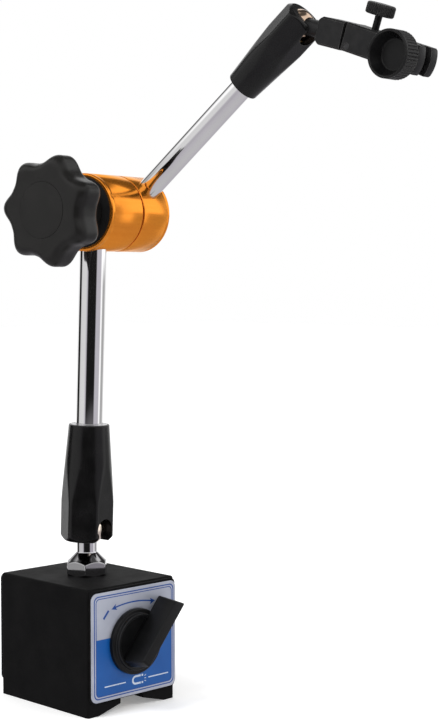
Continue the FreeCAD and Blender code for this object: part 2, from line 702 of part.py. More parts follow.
def star_knob(at):
    """The grip with its boss, threaded insert and front cap."""
    low = "elbow_near - thrust_recess + thrust_washer + running_gap"
    thread_top = "star_front - 6"
    grip = fused(star_grip(), rod("star_boss", f"star_back + 3 - ({low})", (0, 0, low)))
    hollows = (
        rod("bolt_thread + rod_gap", "star_front", (0, 0, 0)),
        rod("star_insert", f"{thread_top} - ({low}) - 0.5", (0, 0, f"{low} + 0.5")),
        rod("bolt_thread + 1", "star_front", (0, 0, f"{thread_top} - 1")),
        rod("cap_radius", "star_front", (0, 0, "star_front - cap_thick")),
    )
    node(without(grip, *hollows), "star_knob", at["knob"])
    node(tube("star_insert", "bolt_thread + running_gap", f"{low} + 0.5", thread_top),
         "star_knob_insert", at["knob"])
    cap, top = "star_front - cap_thick", "star_front + 0.3"
    node(turned((0, cap), ("cap_radius", cap), ("cap_radius", "star_front"),
                ("cap_radius - 0.5", top), (0, top)), "star_knob_cap", at["knob"])


# ---------------------------------------------------------------- swivel block and clamp


def knurled(outer, depth, ridges, low, high):
    """A prism of straight ridges, to be shared with a turned shape."""
    points = []
    for step in range(2 * ridges):
        reach = size(outer) - (size(depth) if step % 2 else 0)
        angle = math.pi * step / ridges
        points.append(Vector(reach * math.cos(angle), reach * math.sin(angle), size(low)))
    face = Part.Face(Part.makePolygon(points + points[:1]))
    return shaped(face.extrude(Vector(0, 0, size(high) - size(low))))


def bevelled_bar(half_wide, low_y, high_y, low_z, high_z):
    """A square bar along Z whose long edges are broken by small bevels."""
    bar = padded("XY_Plane", f"{high_z} - ({low_z})", (
        (f"-({half_wide}) + block_edge", low_y), (f"{half_wide} - block_edge", low_y),
        (half_wide, f"{low_y} + block_edge"), (half_wide, f"{high_y} - block_edge"),
        (f"{half_wide} - block_edge", high_y), (f"-({half_wide}) + block_edge", high_y),
        (f"-({half_wide})", f"{high_y} - block_edge"), (f"-({half_wide})", f"{low_y} + block_edge"),
    ), middle=False)
    bar.Placement = shift(0, 0, size(low_z))
    return bar


def swivel_block(at):
    """The stem in the upper ball, and the block whose tongue reaches into the clamp bar."""
    neck, end = "head_scale * neck_radius", "0.2 - head_scale * ball_bore"
    node(turned(
        (0, end), (neck, end), (neck, "stem_reach"),
        ("spigot_radius", "stem_reach"), ("spigot_radius", "stem_reach + spigot_length"),
        (0, "stem_reach + spigot_length"),
    ), "clamp_stem", at["block"])

    half = "block_high / 2"
    bar = bevelled_bar("block_wide / 2", f"-({half})", half, "stem_reach", "block_far")
    ends = padded("YZ_Plane", "2 * block_wide", (
        (f"block_shoulder - {half}", "stem_reach"), (f"{half} - block_shoulder", "stem_reach"),
        (half, "stem_reach + block_shoulder"), (half, "block_far"), (f"-({half})", "block_far"),
        (f"-({half})", "stem_reach + block_shoulder"),
    ))
    crest = "(tongue_top - fine_at * tan(fine_tilt)) * cos(fine_tilt) - pivot_drop"
    under = f"{crest} - 3"
    tongue = padded("YZ_Plane", "tongue_thick", (
        ("-pivot_drop - 2", "block_far - 1"), (crest, "block_far - 1"),
        (crest, "pivot_reach + 11"), (under, "pivot_reach + 11"),
        (under, "pivot_reach + 3.8"), ("-pivot_drop - 2", "pivot_reach + 2"),
    ))
    holes = (
        rod("spigot_radius", "spigot_length", (0, 0, "stem_reach")),
        rod("pivot_radius + running_gap", "block_wide",
            ("-block_wide / 2", "-pivot_drop", "pivot_reach"), "x"),
        rod(1.6, 2, (0, under, "pivot_reach + spring_at"), "y"),
    )
    node(without(fused(shared(bar, ends), tongue), *holes), "swivel_block", at["block"])


def clamp_bar(at):
    """The forked bar: tongue channel and fine screw at one end, stem bore and dovetail jaws."""
    low, high = "-bar_drop", "block_high - bar_drop"
    middle = "(block_high / 2 - bar_drop)"
    wide = "bar_wide / 2"
    bar = bevelled_bar(wide, low, high, "-bar_back", "bar_reach")
    nose = fused(
        box("2 * bar_wide", "2 * block_high", "bar_back + stem_at + 10",
            ("-bar_wide", "-block_high", "-bar_back")),
        rod("bar_nose", "2 * bar_wide", ("-bar_wide", middle, "bar_reach - bar_nose"), "x"),
    )
    jaw_groove = padded("XZ_Plane", "4 * block_high", (
        ("-dovetail_floor / 2", "dovetail_at"), ("dovetail_floor / 2", "dovetail_at"),
        ("dovetail_floor / 2", "dovetail_at + 1"), ("dovetail_mouth / 2", "bar_reach - 2"),
        ("dovetail_mouth / 2", "bar_reach + 1"), ("-dovetail_mouth / 2", "bar_reach + 1"),
        ("-dovetail_mouth / 2", "bar_reach - 2"), ("-dovetail_floor / 2", "dovetail_at + 1"),
    ))
    hollows = (
        box("channel_wide", "channel_top + bar_drop + 1", "channel_floor + bar_back + 1",
            ("-channel_wide / 2", "-bar_drop - 1", "-bar_back - 1")),
        box("channel_wide", "channel_top - floor_top", "channel_reach",
            ("-channel_wide / 2", "floor_top", 0)),
        rod("fine_radius + running_gap", "block_high", (0, 2, "fine_at"), "y"),
        rod("stem_radius", "3 * block_high", (0, "-block_high", "stem_at"), "y"),
        box("slit", "3 * block_high", "bar_reach", ("-slit / 2", "-block_high", "stem_at")),
        jaw_groove,
        rod("wheel_bolt", "2 * bar_wide", ("-bar_wide", middle, "wheel_at"), "x"),
        rod("wheel_bolt_head", "bar_wide", (f"{wide} - 3", middle, "wheel_at"), "x"),
        rod("pivot_radius", "2 * bar_wide", ("-bar_wide", 0, 0), "x"),
    )
    node(without(shared(bar, nose), *hollows), "clamp_bar", at["bar"])
    pin = rod("pivot_radius", "bar_wide - 0.4", ("0.2 - bar_wide / 2", 0, 0), "x")
    node(pin, "clamp_pivot_pin", at["bar"])


def fine_adjustment(at):
    """The knurled screw, its brass tip, and the coil that pushes the tongue back against it."""
    low, high = "fine_head_low", "fine_head_high"
    rim = turned(
        (0, low), ("fine_head - fine_edge", low), ("fine_head", f"{low} + fine_edge"),
        ("fine_head", f"{high} - fine_edge"), ("fine_head - fine_edge", high), (0, high),
    )
    head = shared(rim, knurled("fine_head", "fine_ridge", 44, low, high))
    shank = rod("fine_radius", f"{low} - tip_high", (0, 0, "tip_high + 0.02"))
    node(fused(head, shank), "fine_screw", at["fine"])
    contact = "tongue_top + tip_gap"
    node(turned(
        (0, contact), (0.4, contact), ("tip_radius", f"{contact} + 0.35"),
        ("tip_radius", "tip_high"), (0, "tip_high"),
    ), "fine_screw_tip", at["fine"])

    radius, wire = size("spring_radius"), size("spring_wire")
    helix = Part.makeHelix(size("spring_high / 4"), size("spring_high - 2 * spring_wire"), radius)
    circle = Part.Wire(Part.makeCircle(wire, Vector(radius, 0, 0), Vector(0, 1, 0)))
    coil = Part.Wire(helix.Edges).makePipeShell([circle], True, True)
    stand = shift(0, size("floor_top + spring_wire + 0.02"), size("spring_at"))
    node(shaped(coil), "fine_return_spring", at["bar"] * stand * turn((1, 0, 0), -90))


def indicator_clamp(at):
    """The bolt across the jaws, and the cupped wheel with its nut that draws them together."""
    jaw, head = "bar_wide / 2", "bar_wide / 2 - 3"
    node(fused(
        rod("wheel_bolt", f"{head} + wheel_back + 1.9", (0, 0, f"-({head})")),
        without(rod("wheel_bolt_head", "2.8", (0, 0, "0.2 - bar_wide / 2")),
                hexagon("3", 2, (0, 0, "-bar_wide / 2"))),
    ), "clamp_bolt", at["wheel"])
    hub = f"{jaw} + washer_thick + 0.1"
    node(tube("wheel_hub", "wheel_bolt + running_gap", f"{jaw} + 0.03", f"{hub} - 0.04"),
         "clamp_washer", at["wheel"])
    back, front, floor = "wheel_back", "wheel_front", "wheel_front - wheel_recess"
    nut_top = f"{floor} - 0.8"
    cup = turned(
        ("wheel_bolt_head", hub), ("wheel_hub", hub), ("wheel_hub", back),
        ("wheel_radius - wheel_edge", back), ("wheel_radius", f"{back} + wheel_edge"),
        ("wheel_radius", f"{front} - wheel_edge"), ("wheel_radius - wheel_lip", front),
        ("wheel_radius - 1", front), ("wheel_radius - wheel_wall", floor), (0, floor),
        (0, nut_top), ("wheel_bolt_head", nut_top),
    )
    ridges = knurled("wheel_radius", "wheel_ridge", 44, back, f"{front} - wheel_edge")
    smooth = fused(ridges, rod("wheel_hub", f"{back} - ({hub}) + 1", (0, 0, hub)),
                   rod("wheel_radius", "wheel_edge", (0, 0, f"{front} - wheel_edge")))
    node(shared(cup, smooth), "clamp_wheel", at["wheel"])
    node(tube("wheel_bolt_head", "wheel_bolt + running_gap", hub, nut_top),
         "clamp_wheel_nut", at["wheel"])


# ---------------------------------------------------------------- build, check and write


def check(thing):
    """Stop with a plain message if an object failed or a piece is empty or broken."""
    if "Invalid" in thing.State or "Error" in thing.State:
        raise RuntimeError(f"{thing.Label} did not build: {thing.State}")


def main():
    fill_sheet()
    at = frames()
    pole_blocks()
    seam_strips()
    covers(at)
    stud(at)
    rotor(at)
    switch_knob(at)
    lower_arm(at)
    elbow(at)
    draw_bolt(at)
    star_knob(at)
    upper_arm(at)
    swivel_block(at)
    clamp_bar(at)
    fine_adjustment(at)
    indicator_clamp(at)
    document.recompute()
    for thing in document.Objects:
        check(thing)
    for piece in nodes:
        if piece.Shape.isNull() or not piece.Shape.isValid() or not piece.Shape.Solids:
            raise RuntimeError(f"{piece.Label} has no valid solid")
    os.makedirs("parts", exist_ok=True)
    for piece in nodes:
        piece.Shape.exportStep(f"parts/{piece.Label}.step")
    print(f"{len(nodes)} pieces")


main()
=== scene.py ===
"""Looks for the indicator stand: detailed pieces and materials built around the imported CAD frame."""
import json
import math

import bmesh
import bpy
from mathutils import Matrix, Vector


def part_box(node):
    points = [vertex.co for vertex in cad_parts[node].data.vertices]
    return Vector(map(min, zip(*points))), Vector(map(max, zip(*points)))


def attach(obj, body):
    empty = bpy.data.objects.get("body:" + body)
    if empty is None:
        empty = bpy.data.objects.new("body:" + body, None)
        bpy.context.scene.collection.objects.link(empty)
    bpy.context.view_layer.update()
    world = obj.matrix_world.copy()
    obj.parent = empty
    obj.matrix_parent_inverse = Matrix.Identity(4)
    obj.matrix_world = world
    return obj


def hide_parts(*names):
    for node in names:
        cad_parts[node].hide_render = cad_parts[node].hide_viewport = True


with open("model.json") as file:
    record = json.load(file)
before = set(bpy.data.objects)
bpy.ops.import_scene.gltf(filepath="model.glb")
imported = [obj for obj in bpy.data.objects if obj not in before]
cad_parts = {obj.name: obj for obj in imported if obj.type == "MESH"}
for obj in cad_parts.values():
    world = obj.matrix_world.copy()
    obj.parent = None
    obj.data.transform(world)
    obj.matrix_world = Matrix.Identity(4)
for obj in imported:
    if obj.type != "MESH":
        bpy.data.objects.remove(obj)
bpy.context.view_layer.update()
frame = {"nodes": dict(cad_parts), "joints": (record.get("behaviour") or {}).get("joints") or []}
joints = {joint["name"]: joint for joint in frame["joints"]}
nodes = frame["nodes"]
MM = 0.001


# ---------------------------------------------------------------- local frames from the record


def axis_of(name):
    return Vector(joints[name]["axis"]).normalized()


def point_of(name):
    return Vector(joints[name]["pos_m"])


def local_frame(origin, x, z):
    """A frame with its Z along z and its X as near as can be to x."""
    z = z.normalized()
    y = z.cross(x).normalized()
    x = y.cross(z)
    made = Matrix((x, y, z)).transposed().to_4x4()
    made.translation = origin
    return made


SIDE, CLAMP_SIDE = axis_of("arm_tilt"), axis_of("clamp_fine_tilt")
BALL_LOW, ELBOW, BALL_HIGH = point_of("arm_tilt"), point_of("elbow_turn"), point_of("head_tilt")
BAR_UP = axis_of("fine_tip_slide")
BASE = Matrix.Identity(4)
STUD_BALL = local_frame(BALL_LOW, SIDE, Vector((0, 0, 1)))
LOWER = local_frame(BALL_LOW, SIDE, ELBOW - BALL_LOW)
ELBOW_AXIS = local_frame(ELBOW, LOWER.col[1].xyz, SIDE)
KNOB = local_frame(ELBOW, LOWER.col[2].xyz, -SIDE)
UPPER = local_frame(BALL_HIGH, SIDE, axis_of("upper_push_slide"))
HEAD_SOCKET = local_frame(BALL_HIGH, -axis_of("head_tilt"), -axis_of("upper_push_slide"))
HEAD_BALL = local_frame(BALL_HIGH, CLAMP_SIDE, -axis_of("head_spin"))
WHEEL = local_frame(point_of("clamp_wheel_turn"), BAR_UP, -CLAMP_SIDE)
FINE = local_frame(point_of("fine_screw_turn"), CLAMP_SIDE, BAR_UP)
LEVER_LEAN = math.radians(40)
SWITCH = local_frame(point_of("switch_turn"), Vector((math.cos(LEVER_LEAN), 0, -math.sin(LEVER_LEAN))),
                     axis_of("switch_turn"))
# a flat drawing stood upright: its Y points up and its Z points to the front
UPRIGHT = Matrix(((1, 0, 0, 0), (0, 0, -1, 0), (0, 1, 0, 0), (0, 0, 0, 1)))


# ---------------------------------------------------------------- material nodes


class Nodes:
    """A node tree, with short ways to add its nodes and join them."""

    def __init__(self, tree):
        self.tree = tree

    def add(self, kind, inputs=(), **settings):
        made = self.tree.nodes.new(kind)
        for key, value in settings.items():
            setattr(made, key, value)
        for key, value in dict(inputs).items():
            self.put(made.inputs[key], value)
        return made

    def put(self, socket, value):
        if isinstance(value, bpy.types.NodeSocket):
            self.tree.links.new(value, socket)
        else:
            socket.default_value = value

    def ramp(self, value, *stops):
        """A colour ramp, whose stops are each a place and either a colour or a grey level."""
        made = self.add("ShaderNodeValToRGB", {"Fac": value})
        elements = made.color_ramp.elements
        while len(elements) > len(stops):
            elements.remove(elements[-1])
        while len(elements) < len(stops):
            elements.new(1.0)
        for element, (place, colour) in zip(elements, stops):
            element.position = place
            element.color = (*colour, 1.0) if isinstance(colour, tuple) else (colour,) * 3 + (1.0,)
        return made.outputs["Color"]

    def spread_ramp(self, value, low, high, *stops):
        """A colour ramp whose places run from low to high instead of from 0 to 1."""
        span = self.add("ShaderNodeMapRange", {"Value": value, "From Min": low, "From Max": high})
        shares = [((place - low) / (high - low), colour) for place, colour in stops]
        return self.ramp(span.outputs["Result"], *shares)

    def math(self, operation, a, b=0.0):
        made = self.add("ShaderNodeMath", operation=operation)
        self.put(made.inputs[0], a)
        self.put(made.inputs[1], b)
        return made.outputs[0]

    def mix(self, factor, a, b):
        made = self.add("ShaderNodeMix", data_type="RGBA")
        for index, value in ((0, factor), (6, a), (7, b)):
            self.put(made.inputs[index], value)
        return made.outputs[2]


class Shader(Nodes):
    """A material's node tree, with the patterns that the materials share."""

    def __init__(self, name):
        self.material = bpy.data.materials.new(name)
        self.material.use_nodes = True
        super().__init__(self.material.node_tree)
        self.bsdf = self.tree.nodes["Principled BSDF"]
        self.where = self.add("ShaderNodeTexCoord").outputs["Object"]

    def surface(self, **values):
        for key, value in values.items():
            self.put(self.bsdf.inputs[key.replace("_", " ")], value)

    def noise(self, scale, detail=3.0, roughness=0.5, stretch=(1, 1, 1)):
        """Noise whose scale is in features per metre, stretched along the object's axes."""
        mapping = self.add("ShaderNodeMapping", {"Vector": self.where, "Scale": stretch})
        made = self.add("ShaderNodeTexNoise", {
            "Vector": mapping.outputs["Vector"], "Scale": scale, "Detail": detail, "Roughness": roughness,
        })
        return made.outputs["Fac"]

    def bump(self, height, distance, strength, normal=None):
        made = self.add("ShaderNodeBump", {"Height": height, "Distance": distance, "Strength": strength})
        if normal is not None:
            self.put(made.inputs["Normal"], normal)
        return made.outputs["Normal"]

    def soft_edges(self, radius):
        return self.add("ShaderNodeBevel", {"Radius": radius}, samples=4).outputs["Normal"]

    def edge_mask(self, radius, low, high):
        """1 near convex edges and 0 on flat faces, from how far a bevel bends the normal."""
        dot = self.add("ShaderNodeVectorMath", operation="DOT_PRODUCT")
        self.put(dot.inputs[0], self.soft_edges(radius))
        self.put(dot.inputs[1], self.add("ShaderNodeNewGeometry").outputs["Normal"])
        bend = self.math("SUBTRACT", 1.0, dot.outputs["Value"])
        return self.ramp(bend, (low, 0.0), (high, 1.0))


def black_enamel():
    """Satin black enamel: a fine orange peel, slight mottling, a little wear along the edges."""
    s = Shader("black_enamel")
    peel = s.noise(1400, 2.0)
    mottle = s.noise(90, 4.0, 0.6)
    base = s.ramp(mottle, (0.3, (0.0030, 0.0030, 0.0032)), (0.7, (0.0058, 0.0056, 0.0058)))
    chips = s.ramp(s.noise(260, 3.0), (0.45, 0.0), (0.75, 0.6))
    wear_and_edge_glint = s.math("MULTIPLY", s.edge_mask(0.6 * MM, 0.02, 0.25), chips)
    s.surface(
        Base_Color=s.mix(wear_and_edge_glint, base, (0.07, 0.07, 0.072, 1)),
        Roughness=s.ramp(mottle, (0.3, 0.60), (0.7, 0.70)),
        Normal=s.bump(peel, 0.12 * MM, 0.5, s.soft_edges(0.5 * MM)),
        Specular_IOR_Level=0.07,
    )
    return s.material


def chrome(name="chrome", tint=(0.77, 0.765, 0.77), painted_shade_below=None):
    """Bright chrome plate with faint polishing marks.

    Below the given height in metres its colour is darkened as painted shade, and its edges get a painted
    highlight.
    """
    s = Shader(name)
    haze = s.noise(60, 3.0)
    marks = s.noise(900, 2.0, 0.6, (1, 1, 0.06))
    plate = s.ramp(haze, (0.3, tint), (0.7, tuple(level * 1.07 for level in tint)))
    # below the height: a darker colour as painted shade, with a painted highlight on the edges
    if painted_shade_below is not None:
        split = s.add("ShaderNodeSeparateXYZ", {"Vector": s.where})
        painted_shade = s.math("LESS_THAN", split.outputs["Z"], painted_shade_below)
        glint = s.edge_mask(0.6 * MM, 0.01, 0.10)
        plate = s.mix(painted_shade, plate, s.mix(glint, (0.33, 0.325, 0.335, 1), (1.0, 0.99, 1.0, 1)))
    s.surface(
        Base_Color=plate,
        Metallic=1.0,
        Roughness=s.ramp(haze, (0.3, 0.045), (0.7, 0.085)),
        Normal=s.bump(marks, 0.02 * MM, 0.12),
    )
    return s.material


def orange_anodised():
    """Turned aluminium dyed orange: fine rings round the axis, slight streaks in the dye."""
    s = Shader("orange_anodised")
    rings = s.noise(5200, 2.0, 0.7, (0.02, 0.02, 1))
    broad = s.noise(700, 2.0, 0.6, (0.05, 0.05, 1))
    s.surface(
        Base_Color=s.ramp(broad, (0.25, (0.86, 0.275, 0.028)), (0.75, (0.93, 0.315, 0.038))),
        Metallic=0.88,
        Roughness=s.ramp(broad, (0.2, 0.15), (0.8, 0.20)),
        Normal=s.bump(rings, 0.03 * MM, 0.25),
        Specular_Tint=(1.0, 0.8, 0.5, 1.0),
    )
    return s.material


def black_oxide(name="black_oxide", lift=1.0, wear_and_glint_colour=(0.16, 0.155, 0.15, 1), edge=0.4 * MM):
    """Blackened milled steel: faint tool lines, a soft oily sheen, paler edges, partly rubbed metal and
    partly a painted highlight.
    """
    s = Shader(name)
    lines = s.noise(2600, 2.0, 0.6, (1, 0.05, 1))
    cloud = s.noise(240, 4.0, 0.6)
    dark = (0.007 * lift, 0.007 * lift, 0.0075 * lift)
    light = (0.015 * lift, 0.0145 * lift, 0.015 * lift)
    # paler edges: rubbed metal and a painted highlight along the convex edges, broken up by cloud noise
    wear_and_edge_glint = s.math("MULTIPLY", s.edge_mask(edge, 0.02, 0.2), s.ramp(cloud, (0.3, 0.25), (0.7, 0.8)))
    s.surface(
        Base_Color=s.mix(wear_and_edge_glint, s.ramp(cloud, (0.3, dark), (0.7, light)), wear_and_glint_colour),
        Metallic=0.1,
        Roughness=s.ramp(cloud, (0.3, 0.34), (0.7, 0.48)),
        Specular_IOR_Level=0.22,
        Normal=s.bump(lines, 0.04 * MM, 0.25, s.soft_edges(0.3 * MM)),
    )
    return s.material


def black_grip():
    """Fine-grained thermoset of the star knob, with a pebbled mould texture."""
    s = Shader("black_grip")
    pebble = s.noise(2300, 2.0, 0.55)
    cloud = s.noise(120, 3.0)
    s.surface(
        Base_Color=s.ramp(cloud, (0.3, (0.0068, 0.0064, 0.0060)), (0.7, (0.0100, 0.0094, 0.0088))),
        Roughness=s.ramp(cloud, (0.3, 0.30), (0.7, 0.38)),
        Normal=s.bump(pebble, 0.08 * MM, 0.4),
        Specular_IOR_Level=0.24,
    )
    return s.material


def black_plastic():
    """Satin moulded plastic of the switch knob, with a painted highlight along its edges."""
    s = Shader("black_plastic")
    grain = s.noise(1800, 3.0, 0.6)
    flow = s.noise(150, 2.0, 0.5, (1, 0.3, 1))
    base = s.ramp(flow, (0.3, (0.0030, 0.0031, 0.0034)), (0.7, (0.0052, 0.0052, 0.0055)))
    s.surface(
        # the edge mask paints a paler highlight along every convex edge
        Base_Color=s.mix(s.edge_mask(0.7 * MM, 0.02, 0.15), base, (0.035, 0.036, 0.039, 1)),
        Roughness=s.ramp(flow, (0.3, 0.34), (0.7, 0.44)),
        Normal=s.bump(grain, 0.10 * MM, 0.5),
        Specular_IOR_Level=0.2,
    )
    return s.material


def socket_black():
    """Satin black of the ball sockets, a little smoother than the clamp."""
    s = Shader("socket_black")
    cloud = s.noise(160, 3.0, 0.55)
    grain = s.noise(1900, 2.0, 0.5)
    # paler patches along the convex edges are a painted highlight
    wear_and_edge_glint = s.math("MULTIPLY", s.edge_mask(0.4 * MM, 0.015, 0.15), s.ramp(cloud, (0.35, 0.1), (0.7, 0.55)))
    base = s.ramp(cloud, (0.3, (0.0032, 0.0031, 0.0033)), (0.7, (0.0055, 0.0053, 0.0055)))
    s.surface(
        Base_Color=s.mix(wear_and_edge_glint, base, (0.14, 0.138, 0.135, 1)),
        Roughness=s.ramp(cloud, (0.3, 0.20), (0.7, 0.28)),
        Normal=s.bump(grain, 0.05 * MM, 0.16, s.soft_edges(0.3 * MM)),
        Specular_IOR_Level=0.26,
    )
    return s.material


def metal(name, dark, light, roughness):
    """A bare metal with machining marks drawn out along the object's height."""
    s = Shader(name)
    marks = s.noise(1600, 3.0, 0.6, (1, 1, 0.08))
    cloud = s.noise(200, 3.0)
    s.surface(
        Base_Color=s.ramp(cloud, (0.3, dark), (0.7, light)),
        Metallic=1.0,
        Roughness=s.ramp(marks, (0.3, roughness * 0.8), (0.7, roughness * 1.2)),
        Normal=s.bump(marks, 0.04 * MM, 0.2, s.soft_edges(0.2 * MM)),
    )
    return s.material


def matt(name, dark, light, roughness):
    """A dull moulded or sintered surface with a fine grain."""
    s = Shader(name)
    grain = s.noise(2200, 3.0)
    s.surface(
        Base_Color=s.ramp(grain, (0.3, dark), (0.7, light)),
        Roughness=roughness,
        Normal=s.bump(grain, 0.05 * MM, 0.3),
    )
    return s.material


def printed(name, dark, light, roughness=0.34, metallic=0.0):
    """Screen-printed ink or brushed sheet on the switch plate, with fine horizontal brushing."""
    s = Shader(name)
    brushing = s.noise(900, 3.0, 0.6, (0.04, 1, 1))
    cloud = s.noise(70, 3.0)
    s.surface(
        Base_Color=s.ramp(cloud, (0.3, dark), (0.7, light)),
        Metallic=metallic,
        Roughness=s.ramp(brushing, (0.3, roughness * 0.85), (0.7, roughness * 1.15)),
        Normal=s.bump(brushing, 0.03 * MM, 0.15),
        Specular_IOR_Level=0.3,
    )
    return s.material


STUD_NECK_HEIGHT = 65.0
FINISH = {
    "enamel": black_enamel(),
    "chrome": chrome(),
    # the stud's chrome: a darker copy as painted shade, darker still below the neck
    "chrome_stud_painted_shade": chrome("chrome_stud_painted_shade", (0.60, 0.59, 0.61), STUD_NECK_HEIGHT * MM),
    # the two balls' warm tints are painted reflections on plain chrome
    "chrome_painted_cream_reflection": chrome("chrome_painted_cream_reflection", (0.80, 0.70, 0.60)),
    "chrome_painted_bronze_reflection": chrome("chrome_painted_bronze_reflection", (0.52, 0.38, 0.28)),
    "orange": orange_anodised(),
    "oxide": black_oxide(),
    "oxide_light": black_oxide("black_oxide_light", 2.4),
    # a darker copy of black oxide whose stronger paler edges are a painted highlight
    "oxide_dark": black_oxide("black_oxide_dark", 0.5, (0.17, 0.165, 0.16, 1), 0.5 * MM),
    "grip": black_grip(),
    "plastic": black_plastic(),
    "socket": socket_black(),
    "steel": metal("ground_steel", (0.42, 0.42, 0.43), (0.56, 0.56, 0.57), 0.3),
    "zinc": metal("zinc_screw", (0.30, 0.30, 0.31), (0.42, 0.42, 0.42), 0.35),
    "brass": metal("machined_brass", (0.62, 0.42, 0.16), (0.76, 0.55, 0.24), 0.28),
    "magnet": matt("sintered_magnet", (0.05, 0.05, 0.052), (0.09, 0.09, 0.092), 0.6),
    "friction": matt("friction_black", (0.006, 0.006, 0.006), (0.012, 0.012, 0.012), 0.6),
    "silver_print": printed("plate_silver", (0.34, 0.36, 0.43), (0.42, 0.44, 0.51), 0.45, 0.35),
    "blue_print": printed("plate_blue", (0.002, 0.064, 0.26), (0.004, 0.078, 0.30)),
    "white_print": printed("plate_white", (0.42, 0.48, 0.58), (0.50, 0.56, 0.66)),
    "line_print": printed("plate_line", (0.006, 0.045, 0.22), (0.010, 0.06, 0.26)),
}

CAD_LOOK = {
    "enamel": ("pole_block_left", "pole_block_right", "seam_strip_top", "front_cover", "rear_cover"),
    "zinc": ("cover_screws",),
    "brass": ("seam_strip_bottom", "stud_bush", "rotor_rear_plate", "lower_ball_seat", "upper_ball_seat",
              "star_knob_insert", "fine_screw_tip", "clamp_wheel_nut"),
    "steel": ("stop_pin", "rotor_spindle", "rotor_shoe_near", "rotor_shoe_far", "lower_tube_bush",
              "upper_tube_bush", "lower_push_rod", "upper_push_rod", "draw_bolt", "elbow_spring_washer",
              "fine_return_spring", "clamp_bolt", "clamp_washer"),
    "magnet": ("rotor_magnet",),
    "silver_print": ("switch_plate",),
    "chrome": ("ball_stud", "lower_ball", "upper_ball", "lower_tube", "upper_tube"),
    "socket": ("lower_socket", "upper_socket"),
    "orange": ("elbow_lower_half", "elbow_upper_half", "elbow_end_cap"),
    "friction": ("elbow_friction_ring", "knob_thrust_plate"),
    "grip": ("star_knob", "star_knob_cap"),
    "plastic": ("switch_knob",),
    "oxide": ("swivel_block", "clamp_bar", "clamp_stem"),
    "oxide_dark": ("fine_screw", "clamp_wheel"),
    "oxide_light": ("clamp_pivot_pin",),
}


def dress(thing, material):
    thing.data.materials.clear()
    thing.data.materials.append(material)


for look, names in CAD_LOOK.items():
    for node_name in names:
        dress(nodes[node_name], FINISH[look])


# ---------------------------------------------------------------- ways to make a mesh


def filleted(corners, steps=5):
    """A (radius, height) outline with its corners rounded: corners are (radius, height, fillet)."""
    points = []
    count = len(corners)
    for i, corner in enumerate(corners):
        here = Vector(corner[:2])
        fillet = corner[2] if len(corner) > 2 else 0
        if not fillet:
            points.append(here)
            continue
        before = (Vector(corners[i - 1][:2]) - here).normalized()
        after = (Vector(corners[(i + 1) % count][:2]) - here).normalized()
        half = before.angle(after) / 2
        reach = fillet / math.tan(half)
        centre = here + (before + after).normalized() * (fillet / math.sin(half))
        start, end = here + before * reach - centre, here + after * reach - centre
        sweep = start.angle_signed(end)
        for step in range(steps + 1):
            points.append(centre + Matrix.Rotation(-sweep * step / steps, 2) @ start)
    return points


def finer(outline, spacing, closed=True):
    """The same outline with points added along its long stretches, so that a ring shape can bend them."""
    ends = outline[1:] + outline[:1] if closed else outline[1:]
    points = []
    for one, two in zip(outline, ends):
        steps = max(1, round((two - one).length / spacing))
        points += [one.lerp(two, i / steps) for i in range(steps)]
    if not closed:
        points.append(outline[-1])
    return points


def circle(x, y, radius, count, start=0.0):
    """A loop of (x, y) points round a centre."""
    turns = [2 * math.pi * i / count + start for i in range(count)]
    return [(x + radius * math.cos(a), y + radius * math.sin(a)) for a in turns]


def round_box(x0, x1, y0, y1, radius, steps=8):
    """A rectangle with rounded corners, as a loop of points that always starts at one corner."""
    loop = []
    for cx, cy, start in ((x1 - radius, y1 - radius, 0), (x0 + radius, y1 - radius, 90),
                          (x0 + radius, y0 + radius, 180), (x1 - radius, y0 + radius, 270)):
        for step in range(steps + 1):
            angle = math.radians(start + 90 * step / steps)
            loop.append((cx + radius * math.cos(angle), cy + radius * math.sin(angle)))
    return loop


def skin(built, rings):
    """Join rings that have the same number of points with faces, the last ring to the first."""
    for one, two in zip(rings, rings[1:] + rings[:1]):
        for i in range(len(one)):
            following = (i + 1) % len(one)
            built.faces.new((one[i], one[following], two[following], two[i]))


def lathe(outline, around=128, shape=None):
    """A bmesh turned about Z from a closed outline; shape bends each ring away from a circle."""
    built = bmesh.new()
    rings = []
    for radius, height in outline:
        if radius < 1e-6:
            rings.append([built.verts.new((0, 0, height))])
            continue
        ring = []
        for step in range(around):
            angle = 2 * math.pi * step / around
            reach = shape(radius, height, angle) if shape else radius
            ring.append(built.verts.new((reach * math.cos(angle), reach * math.sin(angle), height)))
        rings.append(ring)
    for one, two in zip(rings, rings[1:] + rings[:1]):
        if len(one) == 1 and len(two) == 1:
            continue
        for step in range(around):
            following = (step + 1) % around
            corners = [one[step % len(one)], one[following % len(one)],
                       two[following % len(two)], two[step % len(two)]]
            unique = list(dict.fromkeys(corners))
            if len(unique) > 2:
                built.faces.new(unique)
    return built


def limited(high, low, soft):
    """The smaller of two radii, with a rounded change from one to the other."""
    blend = max(soft - abs(high - low), 0) / soft
    return min(high, low) - blend * blend * soft / 4


def hexagonal(across, first_corner, soft, least):
    """A ring shape that trims circles, from the least radius up, to a hexagon of a given width."""
    def shape(radius, height, angle):
        if radius < least:
            return radius
        nearest = (angle - math.radians(first_corner)) % (math.pi / 3) - math.pi / 6
        return limited(radius, across / 2 / math.cos(nearest), soft)
    return shape


def ridged(count, depth, rim, low, high):
    """A ring shape with straight, flat-topped ridges between two heights, on radii near the rim."""
    near_rim, flatness = 0.7, 1.5

    def shape(radius, height, angle):
        if radius < rim - near_rim or not low <= height <= high:
            return radius
        wave = 0.5 - 0.5 * math.cos(count * angle)
        return radius - depth * (1 - min(1.0, wave * flatness))
    return shape


